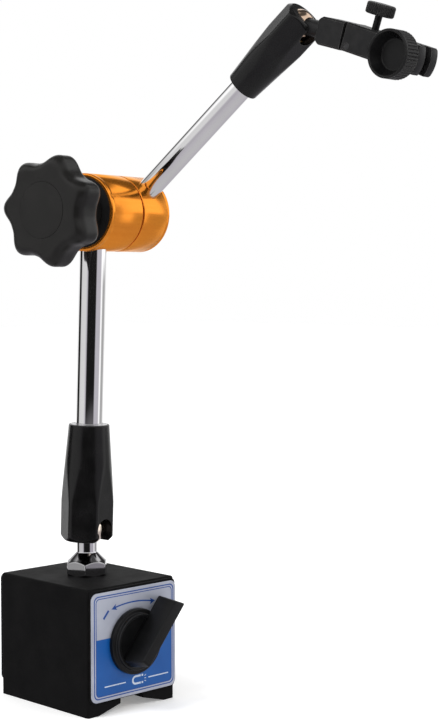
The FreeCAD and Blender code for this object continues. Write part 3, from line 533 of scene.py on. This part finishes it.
def prism(loop, low, high):
    """A bmesh over a closed loop of (x, y) points, from one height to another."""
    built = bmesh.new()
    bottom = [built.verts.new((x, y, low)) for x, y in loop]
    top = [built.verts.new((x, y, high)) for x, y in loop]
    built.faces.new(bottom)
    built.faces.new(top)
    for i in range(len(loop)):
        following = (i + 1) % len(loop)
        built.faces.new((bottom[i], bottom[following], top[following], top[i]))
    return built


def border(outer, inner, low, high):
    """A bmesh frame between two loops with the same number of points."""
    built = bmesh.new()
    levels = ((outer, low), (outer, high), (inner, high), (inner, low))
    skin(built, [[built.verts.new((x, y, level)) for x, y in loop] for loop, level in levels])
    return built


def ribbon(line, width, low, high):
    """A bmesh band of even width along a line of (x, y) points."""
    left, right = [], []
    for i, point in enumerate(line):
        ahead = Vector(line[min(i + 1, len(line) - 1)]) - Vector(line[max(i - 1, 0)])
        side = Vector((-ahead.y, ahead.x)).normalized() * width / 2
        left.append(Vector(point) + side)
        right.append(Vector(point) - side)
    return prism([tuple(p) for p in left + right[::-1]], low, high)


def joined(whole, *parts):
    """Several bmeshes as one."""
    for part in parts:
        held = bpy.data.meshes.new("held")
        part.to_mesh(held)
        part.free()
        whole.from_mesh(held)
        bpy.data.meshes.remove(held)
    return whole


def add_piece(name, built, look, body, node=None, place=BASE, sharp=35):
    """Turn a bmesh in millimetres into a piece of the stand that rides on one of its bodies."""
    bmesh.ops.remove_doubles(built, verts=built.verts, dist=1e-5)
    bmesh.ops.recalc_face_normals(built, faces=built.faces)
    built.transform(place @ Matrix.Scale(MM, 4))
    mesh = bpy.data.meshes.new(name)
    built.to_mesh(mesh)
    built.free()
    mesh.polygons.foreach_set("use_smooth", [True] * len(mesh.polygons))
    mesh.set_sharp_from_angle(angle=math.radians(sharp))
    thing = bpy.data.objects.new(name, mesh)
    bpy.context.scene.collection.objects.link(thing)
    dress(thing, FINISH[look])
    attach(thing, body)
    if node:
        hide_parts(node)
    return thing


# ---------------------------------------------------------------- base: plate, switch and stud


plate_low, plate_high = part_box("switch_plate")
HALF, BOTTOM, TOP = plate_high.x / MM, plate_low.z / MM, plate_high.z / MM
BACK, FRONT = -plate_high.y / MM, -plate_low.y / MM
PRINT_BACK, FIELD_FRONT, LINE_FRONT = FRONT - 0.1, FRONT + 0.012, FRONT + 0.022


def inset_box(inset, radius):
    """A rounded rectangle that runs at an even distance inside the plate's edge."""
    return round_box(-HALF + inset, HALF - inset, BOTTOM + inset, TOP - inset, radius)


def plate_blank():
    """The silver plate, with a chamfered edge and a round hole for the switch."""
    hole_height, hole_radius, corner, chamfer, chamfer_deep = 30, 4.3, 3, 0.18, 0.15
    edge = inset_box(0, corner)
    face = inset_box(chamfer, corner - chamfer)
    hole = circle(0, hole_height, hole_radius, len(edge), math.pi / 4)
    built = bmesh.new()
    levels = ((hole, BACK), (edge, BACK), (edge, FRONT - chamfer_deep), (face, FRONT), (hole, FRONT))
    skin(built, [[built.verts.new((x, y, level)) for x, y in loop] for loop, level in levels])
    add_piece("label_plate", built, "silver_print", "base", "switch_plate", UPRIGHT)


def plate_field():
    """The blue lower half of the print."""
    split, margin, corner = 33.4, 2.35, 2
    field = [(x, min(y, split)) for x, y in inset_box(margin, corner)]
    built = prism(list(dict.fromkeys(field)), PRINT_BACK, FIELD_FRONT)
    add_piece("label_blue_field", built, "blue_print", "base", place=UPRIGHT)


def arrow_parts():
    """A shallow arch with a barbed head at each end."""
    bend, crown, middle, start, span, steps, width = 49.6, 47.25, -0.7, -11.2, 21.4, 24, 0.62
    arch = []
    for step in range(steps + 1):
        x = start + span * step / steps
        arch.append((x, crown - bend + math.sqrt(bend * bend - (x - middle) ** 2)))
    parts = [ribbon(arch, width, PRINT_BACK, LINE_FRONT)]
    half_width, length, notch = 1.4, 3.0, 0.7
    for tip, tail in (((-13.2, 45.6), arch[0]), ((12.0, 46.0), arch[-1])):
        tip = Vector(tip)
        along = (tip - Vector(tail)).normalized()
        side = Vector((-along.y, along.x)) * half_width
        foot = tip - along * length
        head = [tuple(tip), tuple(foot + side), tuple(foot + along * notch), tuple(foot - side)]
        parts.append(prism(head, PRINT_BACK, LINE_FRONT))
    return parts


def plate_lines():
    """The two frame lines, the arrow, and a bar and a ring for on and off."""
    lines = []
    for inset, width, radius in ((1.25, 0.5, 2.4), (2.3, 0.36, 1.9)):
        outer, inner = inset_box(inset, radius), inset_box(inset + width, radius - width * 0.6)
        lines.append(border(outer, inner, PRINT_BACK, LINE_FRONT))
    lines += arrow_parts()
    bar, bar_width = [(-17.7, 42.0), (-14.8, 45.3)], 1.0
    lines.append(ribbon(bar, bar_width, PRINT_BACK, LINE_FRONT))
    x, y, outside, inside, count = 17.1, 43.4, 1.7, 1.1, 32
    ring = border(circle(x, y, outside, count), circle(x, y, inside, count), PRINT_BACK, LINE_FRONT)
    add_piece("label_lines", joined(*lines, ring), "line_print", "base", place=UPRIGHT)


def plate_signs():
    """A horseshoe magnet with three short rays at its poles, between two rules."""
    middle, level, leg, bow_steps = 1.4, 12.6, 1.6, 16
    bow_centre, leg_end, pole, pole_end, ray, ray_end = (
        middle + along for along in (-0.9, 2.1, 2.6, 3.5, 4.3, 5.2)
    )
    bow = []
    for step in range(bow_steps + 1):
        angle = math.pi / 2 + math.pi * step / bow_steps
        bow.append((bow_centre + leg * math.cos(angle), level + leg * math.sin(angle)))
    thick, medium, thin = 0.85, 0.5, 0.3
    strokes = [
        ([(leg_end, level + leg)] + bow + [(leg_end, level - leg)], thick),
        ([(-17.2, level), (-5.2, level)], medium),
        ([(8.0, level), (19.8, level)], medium),
    ]
    for rise in (leg, -leg):
        strokes.append(([(pole, level + rise), (pole_end, level + rise)], thick))
    spread = 1.25
    for rise in (-1.1, 0, 1.1):
        strokes.append(([(ray, level + rise), (ray_end, level + rise * spread)], thin))
    marks = [ribbon(line, width, PRINT_BACK, LINE_FRONT) for line, width in strokes]
    add_piece("label_signs", joined(*marks), "white_print", "base", place=UPRIGHT)


def ball_stud():
    """The hexagon stud: chamfered corners, a cone up to the neck, a pin inside the ball."""
    bottom, seat, hex_low, hex_high, cone_low, cone_high, top = 46.5, 55, 55.9, 60.2, 61.8, 65.2, 78.8
    thread, flange, corner, cone, neck = 4, 8.6, 9.82, 7.9, 4.5
    outline = filleted([
        (0, bottom), (thread, bottom, 0.4), (thread, seat), (flange, seat, 0.2), (corner, hex_low, 0.3),
        (corner, hex_high, 0.5), (cone, cone_low, 0.5), (neck, cone_high, 0.8), (neck, top, 0.3), (0, top),
    ])
    across, first_corner = 17, -15
    shape = hexagonal(across, first_corner, 0.25, neck + 0.1)
    built = lathe(finer(outline, 0.35, closed=False), 288, shape)
    add_piece("stud", built, "chrome_stud_painted_shade", "base", "ball_stud", sharp=40)


def switch_disc():
    """A flanged disc with a dished face."""
    back, under, brim, dish, rim = 1.9, 3.3, 4.1, 4.3, 5.5
    bore, dish_edge, rim_in, rim_out, rim_foot, flange = 4.05, 10.4, 11.0, 12.2, 12.5, 14.4
    outline = filleted([
        (bore, back), (flange, back, 0.2), (flange, brim, 0.7), (rim_foot, brim, 0.3),
        (rim_out, rim, 0.35), (rim_in, rim, 0.4), (dish_edge, dish, 0.5), (0, dish), (0, under),
        (bore, under),
    ])
    add_piece("switch_disc", lathe(outline, 160), "plastic", "switch", "switch_knob", SWITCH)


def switch_blade():
    """The lever: a tapering bar with a slanted tip, drafted sides and soft edges."""
    low, high = 4, 16.3
    half_tip, half_tail, slant, draft = 2.85, 2.75, 0.9, 0.25
    built = bmesh.new()
    corners = {}
    for level, tail, tip, narrow in ((low, -11.6, 22.8, 0), (high, -9.2, 22.0, draft)):
        for side in (-1, 1):
            reach = tip + side * slant
            corners[level, side, 0] = built.verts.new((side * (half_tail - narrow), tail, level))
            corners[level, side, 1] = built.verts.new((side * (half_tip - narrow), reach, level))
    round_trip = ((-1, 0), (1, 0), (1, 1), (-1, 1))
    for level in (low, high):
        built.faces.new([corners[level, side, end] for side, end in round_trip])
    for one, two in zip(round_trip, round_trip[1:] + round_trip[:1]):
        built.faces.new([corners[low, *one], corners[low, *two], corners[high, *two], corners[high, *one]])
    bmesh.ops.recalc_face_normals(built, faces=built.faces)
    bmesh.ops.bevel(built, geom=built.edges[:], offset=0.75, segments=5, profile=0.5, affect="EDGES")
    add_piece("switch_blade", built, "plastic", "switch", place=SWITCH, sharp=50)


# ---------------------------------------------------------------- arms


def ball_piece(name, node, place, scale, look):
    """A ball with its blind bore. Its node and its body have the same name."""
    radius, bore, floor, steps = 8 * scale, 4.55 * scale, 3 * scale, 40
    rim = math.asin((bore + 0.25) / radius)
    turns = [rim + (math.pi - rim) * i / steps for i in range(steps)]
    arc = [(radius * math.sin(a), -radius * math.cos(a)) for a in turns] + [(0, radius)]
    lip = -math.sqrt(radius ** 2 - bore ** 2) + 0.3
    add_piece(name, lathe([(0, floor), (bore, floor), (bore, lip)] + arc), look, node, node, place)


def tube_piece(name, node, body, place, radius, bore, low, high):
    """An arm's tube, with both outer ends rounded."""
    outline = filleted([(bore, low), (radius, low, 0.3), (radius, high, 0.3), (bore, high)])
    add_piece(name, lathe(outline), "chrome", body, node, place)


SOCKET_SHARP = 40


def socket_piece(name, node, body, place, scale):
    """A tapering hexagonal socket with rounded corners and a hollow for the ball."""
    mouth, top, mouth_radius = -5.5 * scale, 46.5 * scale, 5.5 * scale
    inside, wide = 8 * scale + 0.05, 11.75 * scale
    turn, turns, near_middle = 0.09, 20, 0.4
    angles = [math.acos(mouth_radius / inside) + i * turn for i in range(turns)]
    ball = [(inside * math.sin(a), -inside * math.cos(a)) for a in angles]
    ball = [p for p in ball if p[1] < -near_middle] + [(inside, 0)]
    outline = filleted([
        (inside, top), (ball[0][0], mouth), (9.75 * scale, mouth, 0.7), (wide, mouth + 2 * scale, 1.2),
        (wide, 12 * scale, 4), (9 * scale, top - 0.2, 0.35), (inside + 0.3, top),
    ])
    outside = [tuple(p) for p in finer(outline[2:], 0.5, closed=False)]
    profile = [(inside, top)] + ball[::-1] + outside
    shape = hexagonal(21 * scale, 0, 0.35, inside + 0.35)
    piece = add_piece(name, lathe(profile, 288, shape), "socket", body, node, place, SOCKET_SHARP)
    cut_slot(piece, place, 4.9 * scale, mouth - 3, 20 * scale)


def cut_slot(piece, place, half, low, reach):
    """Cut a round-ended slot from the mouth up into one side of a socket, and soften its edges."""
    steps, past_axis = 24, 3
    turns = [math.pi * i / steps for i in range(steps + 1)]
    arch = [(half * math.cos(a), half * math.sin(a)) for a in turns]
    cutter = prism([(half, low)] + arch + [(-half, low)], -past_axis, reach)
    cutter.transform(UPRIGHT)
    cutter.transform(place @ Matrix.Scale(MM, 4))
    bmesh.ops.recalc_face_normals(cutter, faces=cutter.faces)
    held = bpy.data.meshes.new("slot_cutter")
    cutter.to_mesh(held)
    cutter.free()
    tool = bpy.data.objects.new("slot_cutter", held)
    bpy.context.scene.collection.objects.link(tool)
    cut = piece.modifiers.new("slot", "BOOLEAN")
    cut.operation, cut.object, cut.solver = "DIFFERENCE", tool, "EXACT"
    bpy.context.view_layer.update()
    seen = piece.evaluated_get(bpy.context.evaluated_depsgraph_get())
    finished = bpy.data.meshes.new_from_object(seen)
    piece.modifiers.remove(cut)
    piece.data = finished
    finished.set_sharp_from_angle(angle=math.radians(SOCKET_SHARP))
    soften = piece.modifiers.new("slot_edges", "BEVEL")
    soften.width, soften.segments, soften.limit_method = 0.25 * MM, 2, "ANGLE"
    soften.angle_limit = math.radians(50)
    bpy.data.objects.remove(tool)
    bpy.data.meshes.remove(held)


# ---------------------------------------------------------------- elbow and star knob


def elbow_pieces():
    """The two turned halves of the elbow and the disc that closes the far end."""
    near, near_web, joint, far_web, far, ring = -8, -5, 14, 27, 33.2, 0.4
    rim, round_edge, joint_edge, recess, recess_deep, bore, spindle = 17, 0.8, 0.45, 15.3, 1.2, 6.8, 4.3
    near_groove, far_groove, groove_half, groove_deep = -5.75, 31.05, 0.15, 0.09
    lower = [
        (spindle, near + recess_deep), (recess, near + recess_deep), (recess + 0.1, near, 0.2),
        (rim, near, round_edge), (rim, near_groove - groove_half), (rim - groove_deep, near_groove),
        (rim, near_groove + groove_half), (rim, joint - ring, joint_edge), (bore, joint - ring),
        (bore, near_web), (spindle, near_web),
    ]
    add_piece("elbow_lower", lathe(filleted(lower), 192), "orange", "lower_arm", "elbow_lower_half",
              ELBOW_AXIS)
    pocket, shoulder, floor = 12.05, 9.3, far - 1.7
    upper = [
        (bore, joint + ring), (rim, joint + ring, joint_edge), (rim, far_groove - groove_half),
        (rim - groove_deep, far_groove), (rim, far_groove + groove_half), (rim, far, round_edge),
        (pocket, far, 0.12), (pocket, floor), (shoulder, floor), (shoulder, far_web), (bore, far_web),
    ]
    add_piece("elbow_upper", lathe(filleted(upper), 192), "orange", "upper_arm", "elbow_upper_half",
              ELBOW_AXIS)
    disc, dimple, dip = pocket - 0.1, 3.2, far - 0.25
    cap = [(0, floor), (disc, floor), (disc, far, 0.25), (dimple, far), (dimple - 0.3, dip, 0.1), (0, dip)]
    add_piece("elbow_cap", lathe(filleted(cap), 160), "orange", "upper_arm", "elbow_end_cap", ELBOW_AXIS)


STAR_TIP, STAR_VALLEY, STAR_CENTRE = 24.2, 20.4, 12.2
STAR_LOBES, STAR_SWELL, STAR_FADE = 7, 1.4, 0.8


def star_ring(radius, height, angle):
    """Lobes and flutes of the grip: full at the rim, fading towards the boss and the cap."""
    swell = ((1 + math.cos(STAR_LOBES * angle)) / 2) ** STAR_SWELL
    rim = STAR_VALLEY + (STAR_TIP - STAR_VALLEY) * swell
    share = min(max((radius - STAR_CENTRE) / (STAR_TIP - STAR_CENTRE), 0), 1)
    return radius - (STAR_TIP - rim) * share ** STAR_FADE


def star_pieces():
    """The star grip with its round-nosed lobes, and the flat cap in its face."""
    place = KNOB @ Matrix.Rotation(math.radians(88), 4, "Z")
    low, back, front, boss, nose = 7.87, 20.2, 34.8, 11, 4.9
    insert, bolt, floor, cap_radius = 7.02, 5.1, front - 1.6, 12
    corners = [
        (insert, low), (boss, low, 0.4), (boss, back, 1.2), (STAR_TIP, back, nose),
        (STAR_TIP, front, nose), (cap_radius + 0.03, front, 0.1), (cap_radius + 0.03, floor),
        (bolt, floor), (bolt, 28.9), (insert, 28.9),
    ]
    grip = lathe(finer(filleted(corners, 9), 0.8), STAR_LOBES * 40, star_ring)
    add_piece("star_grip", grip, "grip", "star_knob", "star_knob", place, 50)
    raised = 0.12
    cap = [(0, floor), (cap_radius, floor), (cap_radius, front + raised, raised), (0, front + raised)]
    add_piece("star_cap", lathe(filleted(cap)), "grip", "star_knob", "star_knob_cap", place)


# ---------------------------------------------------------------- clamp wheel and fine screw


def clamp_wheel():
    """The cupped wheel: coarse ridges round its rim, a smooth lip, a floor set deep inside."""
    back, front, radius, hub, ridges = 8, 16, 9.6, 7.1, 44
    bore, cup_floor, nut_seat = 3.52, 11, 10.25
    corners = [
        (bore, hub), (5, hub, 0.2), (5, back, 0.5), (radius, back, 0.5), (radius, front, 0.45),
        (radius - 1, front, 0.3), (radius - 3.4, cup_floor, 0.5), (0, cup_floor), (0, nut_seat),
        (bore, nut_seat),
    ]
    shape = ridged(ridges, 0.5, radius, back + 0.2, front - 1.0)
    built = lathe(finer(filleted(corners), 0.4), ridges * 8, shape)
    add_piece("wheel", built, "oxide_dark", "clamp_wheel", "clamp_wheel", WHEEL, 45)


def fine_screw():
    """The knurled thumb screw: a rounded head with fine ridges on a plain shank."""
    low, high, head, ridges = 14.9, 19.6, 5.9, 40
    shank, tip = 1.5, 5.02
    corners = [
        (0, tip), (shank, tip, 0.2), (shank, low, 0.3), (head, low, 0.9), (head, high, 0.9), (0, high),
    ]
    shape = ridged(ridges, 0.32, head, low + 0.3, high - 0.3)
    built = lathe(finer(filleted(corners), 0.4, closed=False), ridges * 8, shape)
    add_piece("thumb_screw", built, "oxide_dark", "fine_screw", "fine_screw", FINE, 45)


def machined_edges():
    """Small real roundings on the pieces whose CAD solids are shown as they are."""
    widths = {
        "pole_block_left": 0.5, "pole_block_right": 0.5, "front_cover": 0.2, "rear_cover": 0.25,
        "swivel_block": 0.3, "clamp_bar": 0.3,
    }
    for name, width in widths.items():
        weld = nodes[name].modifiers.new("weld", "WELD")
        weld.merge_threshold = 0.002 * MM
        flat = nodes[name].modifiers.new("flat", "DECIMATE")
        flat.decimate_type, flat.angle_limit = "DISSOLVE", math.radians(0.5)
        bevel = nodes[name].modifiers.new("edges", "BEVEL")
        bevel.width, bevel.segments, bevel.limit_method = width * MM, 3, "ANGLE"
        bevel.angle_limit, bevel.harden_normals = math.radians(40), True


plate_blank()
plate_field()
plate_lines()
plate_signs()
ball_stud()
switch_disc()
switch_blade()
# the cream and bronze tints of the balls are painted reflections
ball_piece("ball_low", "lower_ball", STUD_BALL, 1, "chrome_painted_cream_reflection")
ball_piece("ball_high", "upper_ball", HEAD_BALL, 0.8, "chrome_painted_bronze_reflection")
tube_piece("tube_low", "lower_tube", "lower_arm", LOWER, radius=6, bore=4.5, low=34, high=131.5)
tube_piece("tube_high", "upper_tube", "upper_arm", UPPER, radius=5, bore=3.5, low=-110.4, high=-27.2)
socket_piece("socket_low", "lower_socket", "lower_arm", LOWER, 1)
socket_piece("socket_high", "upper_socket", "upper_arm", HEAD_SOCKET, 0.8)
elbow_pieces()
star_pieces()
clamp_wheel()
fine_screw()
machined_edges()


# ---------------------------------------------------------------- camera, light and floor


def toward(azimuth, elevation):
    """The direction from the object to a place round it; azimuth 0 is the front, -Y."""
    a, e = math.radians(azimuth), math.radians(elevation)
    return Vector((math.sin(a) * math.cos(e), -math.cos(a) * math.cos(e), math.sin(e)))


def look_back(thing, direction):
    """Turn a camera or a light so that it faces against a direction."""
    thing.rotation_mode = "QUATERNION"
    thing.rotation_quaternion = (-direction).to_track_quat("-Z", "Y")


CAMERA_AZIMUTH, CAMERA_ELEVATION, CAMERA_LENS = -44.81, 3.09, 80
CAMERA_PLACE = (-0.45816, -0.54532, 0.18913)


def make_camera():
    data = bpy.data.cameras.new("camera")
    data.lens = CAMERA_LENS
    data.clip_start, data.clip_end = 0.05, 20
    camera = bpy.data.objects.new("camera", data)
    camera.location = CAMERA_PLACE
    look_back(camera, toward(CAMERA_AZIMUTH, CAMERA_ELEVATION))
    bpy.context.scene.collection.objects.link(camera)
    bpy.context.scene.camera = camera


def camera_bearings(n):
    """A ray's bearing and height in degrees: bearing 0 is back at the camera, and left is positive."""
    place = n.add("ShaderNodeTexCoord").outputs["Generated"]
    turn = (0, 0, math.radians(90 - CAMERA_AZIMUTH))
    turned = n.add("ShaderNodeMapping", {"Vector": place, "Rotation": turn}, vector_type="POINT")
    split = n.add("ShaderNodeSeparateXYZ", {"Vector": turned.outputs["Vector"]})
    x, y, z = split.outputs
    degree = 180 / math.pi
    bearing = n.math("MULTIPLY", n.math("ARCTAN2", n.math("MULTIPLY", y, -1.0), x), degree)
    return bearing, n.math("MULTIPLY", n.math("ARCSINE", z), degree)


def studio_reflections(n):
    """What shiny surfaces see: soft panels with dark gaps, a lit ceiling and a pale floor."""
    bearing, height = camera_bearings(n)
    white, side, lilac, dark, roof = 1.25, 0.46, (0.58, 0.56, 0.61), 0.012, 0.16
    around = n.spread_ramp(
        bearing, -180, 180,
        (-180, 1.0), (-144, 0.95), (-134, side), (-105, 0.50), (-99, white), (-88, white), (-81, lilac),
        (-44, lilac), (-37, dark), (28, dark), (36, lilac), (47, 0.80), (90, 0.78), (100, dark),
        (124, dark), (132, 1.1), (160, 1.0),
    )
    below = n.spread_ramp(
        height, -90, 0,
        (-90, 0.6), (-45, (0.56, 0.54, 0.58)), (-30, (0.50, 0.48, 0.52)), (-8, (0.56, 0.54, 0.58)),
    )
    above = n.spread_ramp(height, 0, 90, (0, white), (50, white), (58, roof), (78, 0.12), (86, 0.6))
    gap = n.spread_ramp(
        bearing, -180, 180,
        (-172, 0.0), (-164, 1.0), (-136, 1.0), (-128, 0.0), (100, 0.0), (114, 0.55), (128, 1.0),
        (140, 1.0), (148, 0.0),
    )
    above = n.mix(gap, above, (0.08, 0.08, 0.08, 1.0))
    sunk = n.spread_ramp(height, -40, 0, (-24, 1.0), (-12, 0.0))
    risen = n.spread_ramp(height, 0, 60, (12, 0.0), (22, 1.0))
    seen = n.mix(risen, n.mix(sunk, around, below), above)
    window = n.spread_ramp(bearing, -180, 180, (-136, 0.0), (-129, 1.0), (-100, 1.0), (-94, 0.0))
    lit = n.spread_ramp(height, 0, 60, (0, 0.0), (3, 1.0))
    daylight = n.spread_ramp(height, 0, 90, (0, 1.45), (50, 1.4), (58, roof))
    return n.mix(n.math("MULTIPLY", window, lit), seen, daylight)


def studio_world():
    """Plain white for the camera, even light on surfaces, and the studio in reflections."""
    world = bpy.data.worlds.new("studio")
    bpy.context.scene.world = world
    world.use_nodes = True
    n = Nodes(world.node_tree)
    n.tree.nodes.clear()
    plain = (1, 1, 1, 1)
    glossy = n.add("ShaderNodeBackground", {"Color": studio_reflections(n)})
    soft = n.add("ShaderNodeBackground", {"Color": plain, "Strength": 0.85})
    backdrop = n.add("ShaderNodeBackground", {"Color": plain})
    rays = n.add("ShaderNodeLightPath")
    lighting = n.add("ShaderNodeMixShader", {
        0: rays.outputs["Is Glossy Ray"], 1: soft.outputs[0], 2: glossy.outputs[0],
    })
    whole = n.add("ShaderNodeMixShader", {
        0: rays.outputs["Is Camera Ray"], 1: lighting.outputs[0], 2: backdrop.outputs[0],
    })
    n.add("ShaderNodeOutputWorld", {"Surface": whole.outputs[0]})


def area_light(name, azimuth, elevation, distance, size, power):
    """A soft round lamp that faces the middle of the object and shows in no reflection."""
    data = bpy.data.lights.new(name, "AREA")
    data.shape, data.size, data.energy = "DISK", size, power
    light = bpy.data.objects.new(name, data)
    middle = Vector((0, -0.03, 0.15))
    direction = toward(azimuth, elevation)
    light.location = middle + direction * distance
    look_back(light, direction)
    light.visible_glossy = False
    bpy.context.scene.collection.objects.link(light)


def make_floor():
    """A pale floor that glows a little, so that it fades into the backdrop."""
    reach = 4
    corners = [(-reach, -reach, 0), (reach, -reach, 0), (reach, reach, 0), (-reach, reach, 0)]
    mesh = bpy.data.meshes.new("floor")
    mesh.from_pydata(corners, [], [(0, 1, 2, 3)])
    floor = bpy.data.objects.new("floor", mesh)
    bpy.context.scene.collection.objects.link(floor)
    s = Shader("pale_floor")
    s.surface(
        Base_Color=s.ramp(s.noise(6, 2.0), (0.3, 0.93), (0.7, 0.95)), Roughness=0.9,
        Emission_Color=(1, 1, 1, 1), Emission_Strength=0.24,
    )
    dress(floor, s.material)
    floor.visible_glossy = False


make_camera()
studio_world()
area_light("key", azimuth=-95, elevation=55, distance=1.2, size=0.5, power=6)
area_light("fill", azimuth=30, elevation=35, distance=1.4, size=0.7, power=4)
make_floor()
bpy.context.scene.view_settings.view_transform = "Standard"
